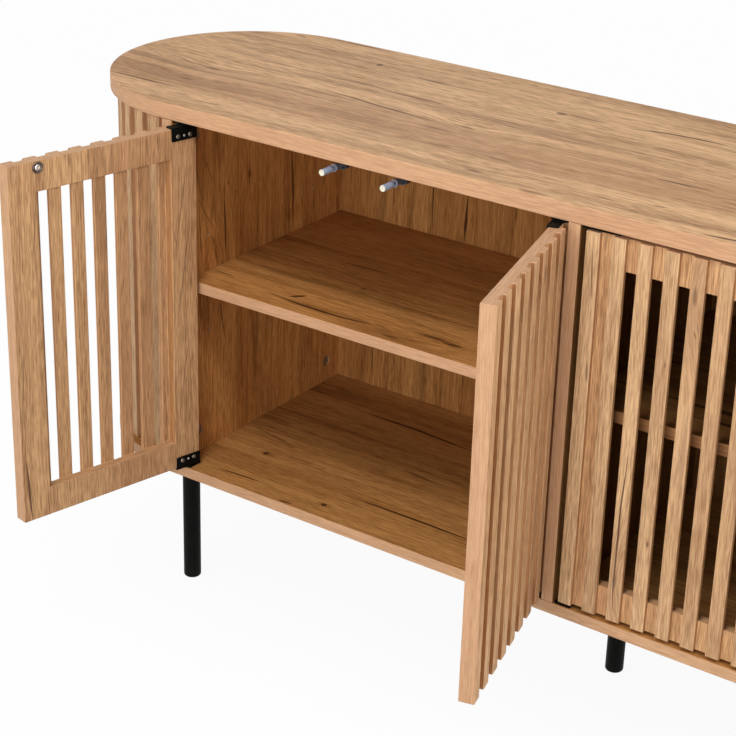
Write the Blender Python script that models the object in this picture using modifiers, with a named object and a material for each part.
"""Sideboard with half-round slatted ends, four slatted doors on pivot hinges and push latches.

Metres, +Z up. The front faces -Y, and the origin is on the floor under the middle leg. The two
left doors stand open and the two right doors are closed, as they rest.
"""

import math

import bmesh
import bpy
from mathutils import Matrix, Vector

OBJECT_NAME = "sideboard"

# Boards and the clear space inside each bay
BOARD = 0.016
TOP_THICKNESS = 0.022
BACK_THICKNESS = 0.003
BAY_WIDTH = 0.592
BAY_HEIGHT = 0.500
BAY_DEPTH = 0.383
PANEL_DEPTH = 0.400

# Gap left between pieces that touch
FIT = 0.0003

# Shelf, its support pins and the spare pin holes above and below them
SHELF_TOP = 0.2696
SHELF_SETBACK = 0.029
SHELF_BACK_GAP = 0.0008
PIN_RADIUS = 0.0025
PIN_REACH = 0.008
PIN_SEAT = 0.004
PIN_FROM_FRONT = 0.0735
PIN_FROM_BACK = 0.072
PIN_HOLE_STEP = 0.0716
PIN_HOLE_DEPTH = 0.007

# Half-round end walls: a bent board with slats on its outside
END_OVERHANG = 0.010
END_WALL = 0.006
END_SLAT_COUNT = 17
END_SLAT_PITCH = math.radians(10.4)

# Legs
LEG_HEIGHT = 0.192
LEG_RADIUS = 0.0125
LEG_PLATE_RADIUS = 0.031
LEG_PLATE_THICKNESS = 0.003
LEG_FOOT_ROUND = 0.0035
LEG_FROM_FRONT = 0.051
LEG_OUTSIDE_BAY = 0.016
MIDDLE_LEG_BEHIND_CENTRE = 0.008

# Doors: a frame with slats on its front
SLAT_COUNT = 9
SLAT_WIDTH = 0.018
SLAT_THICKNESS = 0.006
FRAME_THICKNESS = 0.0135
STILE_WIDTH = 0.041
RAIL_WIDTH = 0.040
WINDOW_RELIEF = 0.0005
DOOR_END_GAP = 0.005
MEETING_GAP = 0.005
DOOR_1_ANGLE = math.radians(103.0)
DOOR_2_ANGLE = math.radians(103.8)

# Pivot hinges: an angle plate with a pin on the door, and a socket plate on the carcass
PIVOT_INSET = 0.009
SWING_CLEARANCE = 0.0009
HINGE_LENGTH = 0.040
HINGE_LEAF_HEIGHT = 0.0165
HINGE_FLANGE = 0.0125
HINGE_STEEL = 0.0015
HINGE_PIN_RADIUS = 0.0025
HINGE_PIN_CLEARANCE = 0.0003
HINGE_RUNNING_GAP = 0.0005
SOCKET_WIDTH = 0.022
SOCKET_PAST_PIN = 0.0075
SOCKET_FROM_PANEL = 0.002

# Push latches under the top, and the strikes on the doors that they meet
STRIKE_RADIUS = 0.008
STRIKE_THICKNESS = 0.0015
STRIKE_FROM_FREE_EDGE = 0.043
STRIKE_BELOW_DOOR_TOP = 0.0085
LATCH_TIP_GAP = 0.0004
LATCH_TRAVEL = 0.033
PLUNGER_RADIUS = 0.0041
PLUNGER_NOSE = 0.0245
PLUNGER_LENGTH = 0.066
PLUNGER_TIP_CHAMFER = 0.0006
COLLAR_RADIUS = 0.0052
COLLAR_LENGTH = 0.0025
GUIDE_LENGTH = 0.006
BARREL_WALL = 0.0015
BARREL_CLEARANCE = 0.0003
BARREL_BEHIND_STRIKE = 0.0095
BORE_END_GAP = 0.002
BARREL_END = 0.004
SADDLE_WIDTH = 0.014
SADDLE_INSET = 0.008

# Sides of the rounded shapes
HALF_ROUND_STEPS = 48
ROUND_STEPS = 24
SMALL_ROUND_STEPS = 16
FOOT_ROUND_STEPS = 3
SHARP_ANGLE = math.radians(30.0)

# Points closer than this are one point
MERGE_DISTANCE = 0.00001

# Sizes that follow from the ones above
FLOOR_OF_BAYS = LEG_HEIGHT + BOARD
CEILING_OF_BAYS = FLOOR_OF_BAYS + BAY_HEIGHT
DEPTH_CENTRE = -MIDDLE_LEG_BEHIND_CENTRE
FRONT = DEPTH_CENTRE - PANEL_DEPTH / 2
BACK_FACE = FRONT + BAY_DEPTH
BAY_PITCH = BAY_WIDTH + BOARD
SIDE_INNER = BOARD / 2 + BAY_WIDTH
SIDE_OUTER = SIDE_INNER + BOARD
SHELF_BOTTOM = SHELF_TOP - BOARD
DOOR_THICKNESS = FRAME_THICKNESS + SLAT_THICKNESS
PIVOT_TO_BACK = FRAME_THICKNESS / 2
PIVOT_TO_FRONT = DOOR_THICKNESS - PIVOT_TO_BACK
HINGE_GAP = math.hypot(PIVOT_INSET, PIVOT_TO_FRONT) + SWING_CLEARANCE - PIVOT_INSET
DOOR_WIDTH = (BAY_WIDTH - 2 * HINGE_GAP - MEETING_GAP) / 2
DOOR_BOTTOM = DOOR_END_GAP
DOOR_TOP = BAY_HEIGHT - DOOR_END_GAP
SLAT_PITCH = (DOOR_WIDTH - SLAT_WIDTH) / (SLAT_COUNT - 1)
STRIKE_ALONG = DOOR_WIDTH - STRIKE_FROM_FREE_EDGE
LATCH_HEIGHT = FLOOR_OF_BAYS + DOOR_TOP - STRIKE_BELOW_DOOR_TOP
STRIKE_FACE = FRONT + DOOR_THICKNESS + FIT + STRIKE_THICKNESS
BARREL_BORE = COLLAR_RADIUS + BARREL_CLEARANCE
BARREL_RADIUS = BARREL_BORE + BARREL_WALL


def clear_scene():
    """Removes whatever the scene holds."""
    for obj in list(bpy.data.objects):
        bpy.data.objects.remove(obj, do_unlink=True)


def new_collection(name):
    collection = bpy.data.collections.new(name)
    bpy.context.scene.collection.children.link(collection)
    return collection


def finish(name, colour, roughness, metallic=0.0):
    """A plain surface finish."""
    material = bpy.data.materials.new(name)
    material.use_nodes = True
    shader = material.node_tree.nodes["Principled BSDF"]
    shader.inputs["Base Color"].default_value = (*colour, 1.0)
    shader.inputs["Roughness"].default_value = roughness
    shader.inputs["Metallic"].default_value = metallic
    return material


clear_scene()
PARTS = new_collection(OBJECT_NAME)
CUTTERS = new_collection("cutters")
OAK = finish("oak_board", (0.52, 0.34, 0.19), 0.55)
OAK_TOP = finish("oak_top", (0.50, 0.33, 0.18), 0.5)
BLACK_METAL = finish("black_metal", (0.012, 0.012, 0.013), 0.45, 0.6)
DARK_PLASTIC = finish("dark_plastic", (0.035, 0.037, 0.042), 0.5)
PALE_PLASTIC = finish("pale_plastic", (0.62, 0.64, 0.66), 0.4)
STEEL = finish("steel", (0.55, 0.55, 0.56), 0.35, 1.0)


def add_part(name, mesh, material, parent=None):
    """Makes a part of the sideboard from a mesh, on a parent's axis where it has one."""
    obj = bpy.data.objects.new(name, mesh)
    PARTS.objects.link(obj)
    obj.parent = parent
    if material is not None:
        mesh.materials.clear()
        mesh.materials.append(material)
    return obj


def add_cutter(name, mesh, parent=None):
    """Makes a helper that a Boolean uses and nothing shows."""
    obj = bpy.data.objects.new(name, mesh)
    CUTTERS.objects.link(obj)
    obj.parent = parent
    obj.hide_render = True
    obj.display_type = "WIRE"
    return obj


def combine(obj, operation, tool):
    """Cuts the tool out of a part, or joins it on."""
    modifier = obj.modifiers.new(tool.name, "BOOLEAN")
    modifier.operation = operation
    modifier.solver = "EXACT"
    modifier.object = tool


def mesh_from(bm, name):
    """Ends a shape: its faces point out, and its round faces are shaded smooth."""
    bmesh.ops.recalc_face_normals(bm, faces=bm.faces)
    mesh = bpy.data.meshes.new(name)
    bm.to_mesh(mesh)
    bm.free()
    mesh.shade_smooth()
    mesh.set_sharp_from_angle(angle=SHARP_ANGLE)
    return mesh


def shape_of(name, data, prepare=None):
    """The plain shape that a curve, or a mesh with a modifier, gives."""
    drawn = bpy.data.objects.new(name, data)
    CUTTERS.objects.link(drawn)
    if prepare is not None:
        prepare(drawn)
    graph = bpy.context.evaluated_depsgraph_get()
    mesh = bpy.data.meshes.new_from_object(drawn.evaluated_get(graph))
    bpy.data.objects.remove(drawn, do_unlink=True)
    bm = bmesh.new()
    bm.from_mesh(mesh)
    bpy.data.meshes.remove(mesh)
    bmesh.ops.remove_doubles(bm, verts=bm.verts, dist=MERGE_DISTANCE)
    return bm


def box_mesh(name, low, high):
    """A block between two corners."""
    low = Vector(low)
    high = Vector(high)
    bm = bmesh.new()
    bmesh.ops.create_cube(bm, size=1.0)
    bmesh.ops.scale(bm, vec=high - low, verts=bm.verts)
    bmesh.ops.translate(bm, vec=(low + high) / 2, verts=bm.verts)
    return mesh_from(bm, name)


def rods_mesh(name, ends, radius, steps):
    """Round bars of one radius, each between two points, in one mesh."""
    bm = bmesh.new()
    for start, end in ends:
        start = Vector(start)
        along = Vector(end) - start
        turn = along.to_track_quat("Z", "Y").to_matrix().to_4x4()
        place = Matrix.Translation(start + along / 2) @ turn
        bmesh.ops.create_cone(bm, cap_ends=True, segments=steps, radius1=radius, radius2=radius,
                              depth=along.length, matrix=place)
    return mesh_from(bm, name)


def extruded_mesh(name, outline, low, high, axis="Z"):
    """A flat outline drawn out along Z between two heights, or along X from an outline in Y and Z."""
    curve = bpy.data.curves.new(name, "CURVE")
    curve.dimensions = "2D"
    curve.fill_mode = "BOTH"
    curve.extrude = (high - low) / 2
    spline = curve.splines.new("POLY")
    spline.points.add(len(outline) - 1)
    for point, (first, second) in zip(spline.points, outline):
        point.co = (first, second, 0.0, 1.0)
    spline.use_cyclic_u = True
    bm = shape_of(name, curve)
    caps = [face for face in bm.faces if len({vert.co.z > 0.0 for vert in face.verts}) == 1]
    bmesh.ops.delete(bm, geom=caps, context="FACES")
    bmesh.ops.holes_fill(bm, edges=[edge for edge in bm.edges if edge.is_boundary], sides=0)
    bmesh.ops.translate(bm, vec=(0.0, 0.0, (low + high) / 2), verts=bm.verts)
    if axis == "X":
        turn = Matrix(((0.0, 0.0, 1.0), (1.0, 0.0, 0.0), (0.0, 1.0, 0.0)))
        bmesh.ops.transform(bm, matrix=turn.to_4x4(), verts=bm.verts)
    return mesh_from(bm, name)


def turned_mesh(name, profile, steps):
    """A profile of (radius, height) points, top to bottom, spun round the Z axis."""

    def spin(obj):
        screw = obj.modifiers.new("turned", "SCREW")
        screw.steps = steps
        screw.render_steps = steps
        screw.use_merge_vertices = True
        screw.merge_threshold = MERGE_DISTANCE

    bm = bmesh.new()
    corners = [bm.verts.new((radius, 0.0, height)) for radius, height in profile]
    for upper, lower in zip(corners, corners[1:]):
        bm.edges.new((upper, lower))
    mesh = bpy.data.meshes.new(name)
    bm.to_mesh(mesh)
    bm.free()
    return mesh_from(shape_of(name, mesh, spin), name)


def arc(centre, radius, start, end, steps):
    """Points on an arc, both ends included."""
    angles = [start + (end - start) * step / steps for step in range(steps + 1)]
    return [(centre[0] + radius * math.cos(a), centre[1] + radius * math.sin(a)) for a in angles]


def stadium_outline(half_length, radius):
    """A straight-sided outline with a half round at each end."""
    quarter = math.pi / 2
    right = arc((half_length, DEPTH_CENTRE), radius, -quarter, quarter, HALF_ROUND_STEPS)
    left = arc((-half_length, DEPTH_CENTRE), radius, quarter, 3 * quarter, HALF_ROUND_STEPS)
    return right + left


def comb_outline(start, end, floor, top, slats):
    """A board's end section with slats standing on its face, along the door and out from its back."""
    points = [(start, 0.0), (end, 0.0), (end, floor)]
    for left, right in reversed(slats):
        points += [(right, floor), (right, top), (left, top), (left, floor)]
    points.append((start, floor))
    kept = []
    for point in points:
        if not kept or math.dist(point, kept[-1]) > FIT / 10:
            kept.append(point)
    return kept


def build_panels():
    """The top, the bottom, the two sides, the divider and the backs."""
    outline = stadium_outline(SIDE_OUTER, PANEL_DEPTH / 2)
    top_level = CEILING_OF_BAYS
    add_part("top_panel", extruded_mesh("top_panel", outline, top_level, top_level + TOP_THICKNESS),
             OAK_TOP)
    add_part("bottom_panel", extruded_mesh("bottom_panel", outline, LEG_HEIGHT, FLOOR_OF_BAYS), OAK)
    low = FLOOR_OF_BAYS + FIT
    high = CEILING_OF_BAYS - FIT
    uprights = {
        "left_side_panel": (-SIDE_OUTER, -SIDE_INNER, (1,)),
        "centre_divider": (-BOARD / 2, BOARD / 2, (-1, 1)),
        "right_side_panel": (SIDE_INNER, SIDE_OUTER, (-1,)),
    }
    for name, (left, right, inner_sides) in uprights.items():
        mesh = box_mesh(name, (left, FRONT, low), (right, BACK_FACE - FIT, high))
        panel = add_part(name, mesh, OAK)
        add_shelf_pins(panel, left, right, inner_sides)
    backs = {"left_back_panel": (-SIDE_OUTER, -FIT / 2), "right_back_panel": (FIT / 2, SIDE_OUTER)}
    for name, (left, right) in backs.items():
        mesh = box_mesh(name, (left, BACK_FACE, low), (right, BACK_FACE + BACK_THICKNESS, high))
        add_part(name, mesh, OAK)


def add_shelf_pins(panel, left, right, inner_sides):
    """Joins the pins that carry the shelf to an upright, and bores the spare holes."""
    pin_level = FLOOR_OF_BAYS + SHELF_BOTTOM - FIT - PIN_RADIUS
    rows = (FRONT + PIN_FROM_FRONT, BACK_FACE - PIN_FROM_BACK)
    pins = []
    holes = []
    for side in inner_sides:
        face = right if side > 0 else left
        for row in rows:
            pins.append(((face - side * PIN_SEAT, row, pin_level),
                         (face + side * PIN_REACH, row, pin_level)))
            for step in (-PIN_HOLE_STEP, PIN_HOLE_STEP):
                level = pin_level + step
                holes.append(((face - side * PIN_HOLE_DEPTH, row, level),
                              (face + side * PIN_REACH, row, level)))
    pin_mesh = rods_mesh(panel.name + "_pins", pins, PIN_RADIUS, SMALL_ROUND_STEPS)
    hole_mesh = rods_mesh(panel.name + "_holes", holes, PIN_RADIUS, SMALL_ROUND_STEPS)
    combine(panel, "UNION", add_cutter(panel.name + "_pins", pin_mesh))
    combine(panel, "DIFFERENCE", add_cutter(panel.name + "_holes", hole_mesh))


def build_shelves():
    """One shelf in each bay, on its pins."""
    for name, middle in (("left_shelf", -BAY_PITCH / 2), ("right_shelf", BAY_PITCH / 2)):
        half = BAY_WIDTH / 2 - FIT
        low = (middle - half, FRONT + SHELF_SETBACK, FLOOR_OF_BAYS + SHELF_BOTTOM)
        high = (middle + half, BACK_FACE - SHELF_BACK_GAP, FLOOR_OF_BAYS + SHELF_TOP)
        add_part(name, box_mesh(name, low, high), OAK)


def end_wall_outline(side):
    """A bent board with slats on its outside, round the end at one side."""
    centre = (side * (SIDE_OUTER + FIT), DEPTH_CENTRE)
    slat_face = PANEL_DEPTH / 2 - END_OVERHANG
    face = slat_face - SLAT_THICKNESS
    half_slat = math.asin(SLAT_WIDTH / 2 / face)
    first = math.pi / 2 - END_SLAT_PITCH * (END_SLAT_COUNT - 1) / 2
    points = [(0.0, -face)]
    for slat in range(END_SLAT_COUNT):
        middle = first + slat * END_SLAT_PITCH - math.pi / 2
        out = Vector((math.cos(middle), math.sin(middle)))
        across = Vector((-out.y, out.x)) * SLAT_WIDTH / 2
        floor = out * face * math.cos(half_slat)
        top = out * slat_face
        points += [tuple(floor - across), tuple(top - across), tuple(top + across), tuple(floor + across)]
    points.append((0.0, face))
    points += arc((0.0, 0.0), face - END_WALL, math.pi / 2, -math.pi / 2, HALF_ROUND_STEPS)
    return [(centre[0] + side * x, centre[1] + y) for x, y in points]


def build_end_walls():
    for name, side in (("left_end_wall", -1), ("right_end_wall", 1)):
        mesh = extruded_mesh(name, end_wall_outline(side), FLOOR_OF_BAYS + FIT, CEILING_OF_BAYS - FIT)
        add_part(name, mesh, OAK)


def build_legs():
    """Four legs under the side panels and one in the middle, each with its mounting plate."""
    top = LEG_HEIGHT - FIT
    plate = top - LEG_PLATE_THICKNESS
    foot = arc((LEG_RADIUS - LEG_FOOT_ROUND, LEG_FOOT_ROUND), LEG_FOOT_ROUND, 0.0, -math.pi / 2,
               FOOT_ROUND_STEPS)
    profile = [(0.0, top), (LEG_PLATE_RADIUS, top), (LEG_PLATE_RADIUS, plate), (LEG_RADIUS, plate),
               *foot, (0.0, 0.0)]
    across = SIDE_INNER + LEG_OUTSIDE_BAY
    front = FRONT + LEG_FROM_FRONT
    rear = FRONT + PANEL_DEPTH - LEG_FROM_FRONT
    places = {
        "front_left_leg": (-across, front),
        "front_right_leg": (across, front),
        "rear_left_leg": (-across, rear),
        "rear_right_leg": (across, rear),
        "middle_leg": (0.0, DEPTH_CENTRE + MIDDLE_LEG_BEHIND_CENTRE),
    }
    for name, (x, y) in places.items():
        leg = add_part(name, turned_mesh(name, profile, ROUND_STEPS), BLACK_METAL)
        leg.location = (x, y, 0.0)


def door_slats():
    """Left and right edges of the slats, from the hinge edge along the door."""
    return [(slat * SLAT_PITCH, slat * SLAT_PITCH + SLAT_WIDTH) for slat in range(SLAT_COUNT)]


class Door:
    """One door, drawn round its pivot: hand is 1 with the hinge at its left and -1 at its right."""

    def __init__(self, name, panel_face, hand, angle):
        self.name = name
        self.hand = hand
        self.pivot = Vector((panel_face + hand * (HINGE_GAP + PIVOT_INSET),
                             FRONT + PIVOT_TO_FRONT, FLOOR_OF_BAYS))
        self.axis = bpy.data.objects.new(name + "_axis", None)
        PARTS.objects.link(self.axis)
        self.axis.location = self.pivot
        self.axis.rotation_euler.z = -hand * angle
        bpy.context.view_layer.update()

    def across(self, along):
        """Place across the pivot of a distance along the door from its hinge edge."""
        return self.hand * (along - PIVOT_INSET)

    def section(self, outline):
        """Turns a section along the door and out from its back into the pivot's own X and Y."""
        return [(self.across(along), PIVOT_TO_BACK - out) for along, out in outline]

    def part(self, piece, mesh, material):
        return add_part(f"{self.name}_{piece}", mesh, material, self.axis)

    def block(self, name, along, out, height):
        """A block between distances along the door, out from its back and up from the bay floor."""
        x = sorted(self.across(value) for value in along)
        y = sorted(PIVOT_TO_BACK - value for value in out)
        return box_mesh(name, (x[0], y[0], height[0]), (x[1], y[1], height[1]))

    def build_wood(self):
        """Two stiles with their edge slats, and the grille of rails and slats between them."""
        rail_start = STILE_WIDTH + FIT
        rail_end = DOOR_WIDTH - STILE_WIDTH - FIT
        slats = door_slats()
        on_rails = [slat for slat in slats if slat[1] > rail_start and slat[0] < rail_end]
        near = [slat for slat in slats if slat[1] <= rail_start]
        far = [slat for slat in slats if slat[0] >= rail_end]
        face = FRAME_THICKNESS - FIT
        stiles = {
            "hinge_stile": comb_outline(0.0, STILE_WIDTH, face, DOOR_THICKNESS, near),
            "free_stile": comb_outline(DOOR_WIDTH - STILE_WIDTH, DOOR_WIDTH, face, DOOR_THICKNESS, far),
        }
        for piece, outline in stiles.items():
            self.part(piece, extruded_mesh(piece, self.section(outline), DOOR_BOTTOM, DOOR_TOP), OAK)
        comb = comb_outline(rail_start, rail_end, FRAME_THICKNESS, DOOR_THICKNESS, on_rails)
        grille = self.part("slat_grille", extruded_mesh("slat_grille", self.section(comb), DOOR_BOTTOM,
                                                        DOOR_TOP), OAK)
        window = self.block("window", (on_rails[0][0] - SLAT_WIDTH, on_rails[-1][1] + SLAT_WIDTH),
                            (-FRAME_THICKNESS, FRAME_THICKNESS + WINDOW_RELIEF),
                            (DOOR_BOTTOM + RAIL_WIDTH, DOOR_TOP - RAIL_WIDTH))
        combine(grille, "DIFFERENCE", add_cutter(self.name + "_window", window, self.axis))

    def build_hinge(self, end):
        """The angle plate with its pin on one end of the door, and the socket plate it turns in."""
        place = "upper" if end > 0 else "lower"
        door_end = DOOR_TOP if end > 0 else DOOR_BOTTOM
        bay_end = BAY_HEIGHT if end > 0 else 0.0
        inner = door_end + end * FIT
        outer = inner + end * HINGE_STEEL
        leaf_back = PIVOT_TO_BACK + FIT + HINGE_STEEL
        leaf_front = PIVOT_TO_BACK + FIT
        leaf_edge = door_end - end * HINGE_LEAF_HEIGHT
        flange_edge = leaf_back - HINGE_STEEL - HINGE_FLANGE
        angle = [(leaf_back, outer), (flange_edge, outer), (flange_edge, inner), (leaf_front, inner),
                 (leaf_front, leaf_edge), (leaf_back, leaf_edge)]
        ends = sorted((self.across(0.0), self.across(HINGE_LENGTH)))
        leaf = self.part(f"{place}_hinge_leaf", extruded_mesh("hinge_leaf", angle, *ends, axis="X"),
                         BLACK_METAL)
        socket_near = outer + end * HINGE_RUNNING_GAP
        socket_far = bay_end - end * FIT
        pin_end = socket_far - end * FIT
        pin = rods_mesh("pin", [((0.0, 0.0, (inner + outer) / 2), (0.0, 0.0, pin_end))],
                        HINGE_PIN_RADIUS, SMALL_ROUND_STEPS)
        combine(leaf, "UNION", add_cutter(f"{self.name}_{place}_pin", pin, self.axis))
        self.build_socket(place, sorted((socket_near, socket_far)))

    def build_socket(self, place, levels):
        """The plate on the carcass that holds the hinge pin."""
        start = self.hand * (SOCKET_FROM_PANEL - HINGE_GAP - PIVOT_INSET)
        x = sorted((start, self.hand * SOCKET_PAST_PIN))
        name = f"{self.name}_{place}_hinge_socket"
        plate = box_mesh(name, (x[0], -SOCKET_WIDTH / 2, levels[0]), (x[1], SOCKET_WIDTH / 2, levels[1]))
        hole = rods_mesh("hole", [((0.0, 0.0, levels[0] - HINGE_STEEL), (0.0, 0.0, levels[1] + HINGE_STEEL))],
                         HINGE_PIN_RADIUS + HINGE_PIN_CLEARANCE, SMALL_ROUND_STEPS)
        socket = add_part(name, plate, BLACK_METAL)
        socket.location = self.pivot
        cutter = add_cutter(name + "_hole", hole)
        cutter.location = self.pivot
        combine(socket, "DIFFERENCE", cutter)

    def build_strike(self):
        """The steel disc on the back of the door that the latch meets."""
        x = self.across(STRIKE_ALONG)
        level = DOOR_TOP - STRIKE_BELOW_DOOR_TOP
        start = (x, PIVOT_TO_BACK + FIT, level)
        end = (x, PIVOT_TO_BACK + FIT + STRIKE_THICKNESS, level)
        self.part("strike", rods_mesh("strike", [(start, end)], STRIKE_RADIUS, ROUND_STEPS), STEEL)

    def build_latch(self, pressed):
        """The push latch under the top: a barrel on its saddle, and the plunger that slides in it."""
        x = self.pivot.x + self.across(STRIKE_ALONG)
        retracted = STRIKE_FACE + LATCH_TIP_GAP
        tip = retracted if pressed else retracted - LATCH_TRAVEL
        number = self.name.split("_")[1]
        collar = PLUNGER_NOSE + COLLAR_LENGTH
        guide = PLUNGER_LENGTH - GUIDE_LENGTH
        profile = [(0.0, 0.0), (PLUNGER_RADIUS - PLUNGER_TIP_CHAMFER, 0.0),
                   (PLUNGER_RADIUS, -PLUNGER_TIP_CHAMFER), (PLUNGER_RADIUS, -PLUNGER_NOSE),
                   (COLLAR_RADIUS, -PLUNGER_NOSE), (COLLAR_RADIUS, -collar),
                   (PLUNGER_RADIUS, -collar), (PLUNGER_RADIUS, -guide),
                   (COLLAR_RADIUS, -guide), (COLLAR_RADIUS, -PLUNGER_LENGTH), (0.0, -PLUNGER_LENGTH)]
        name = f"latch_{number}_plunger"
        plunger = add_part(name, turned_mesh(name, profile, ROUND_STEPS), PALE_PLASTIC)
        plunger.location = (x, tip, LATCH_HEIGHT)
        plunger.rotation_euler.x = math.pi / 2
        front = STRIKE_FACE + BARREL_BEHIND_STRIKE
        bore_end = retracted + PLUNGER_LENGTH + BORE_END_GAP
        back = bore_end + BARREL_END
        name = f"latch_{number}_barrel"
        barrel = add_part(name, rods_mesh(name, [((x, front, LATCH_HEIGHT), (x, back, LATCH_HEIGHT))],
                                          BARREL_RADIUS, ROUND_STEPS), DARK_PLASTIC)
        saddle = box_mesh("saddle", (x - SADDLE_WIDTH / 2, front + SADDLE_INSET, LATCH_HEIGHT),
                          (x + SADDLE_WIDTH / 2, back - SADDLE_INSET, CEILING_OF_BAYS - FIT))
        bore = rods_mesh("bore", [((x, STRIKE_FACE, LATCH_HEIGHT), (x, bore_end, LATCH_HEIGHT))],
                         BARREL_BORE, ROUND_STEPS)
        combine(barrel, "UNION", add_cutter(name + "_saddle", saddle))
        combine(barrel, "DIFFERENCE", add_cutter(name + "_bore", bore))

    def build(self, pressed):
        self.build_wood()
        self.build_hinge(1)
        self.build_hinge(-1)
        self.build_strike()
        self.build_latch(pressed)


def build_doors():
    """Doors 1 and 2 stand open on the left bay, doors 3 and 4 close the right bay."""
    Door("door_1", -SIDE_INNER, 1, DOOR_1_ANGLE).build(pressed=False)
    Door("door_2", -BOARD / 2, -1, DOOR_2_ANGLE).build(pressed=False)
    Door("door_3", BOARD / 2, 1, 0.0).build(pressed=True)
    Door("door_4", SIDE_INNER, -1, 0.0).build(pressed=True)


build_panels()
build_shelves()
build_end_walls()
build_legs()
build_doors()
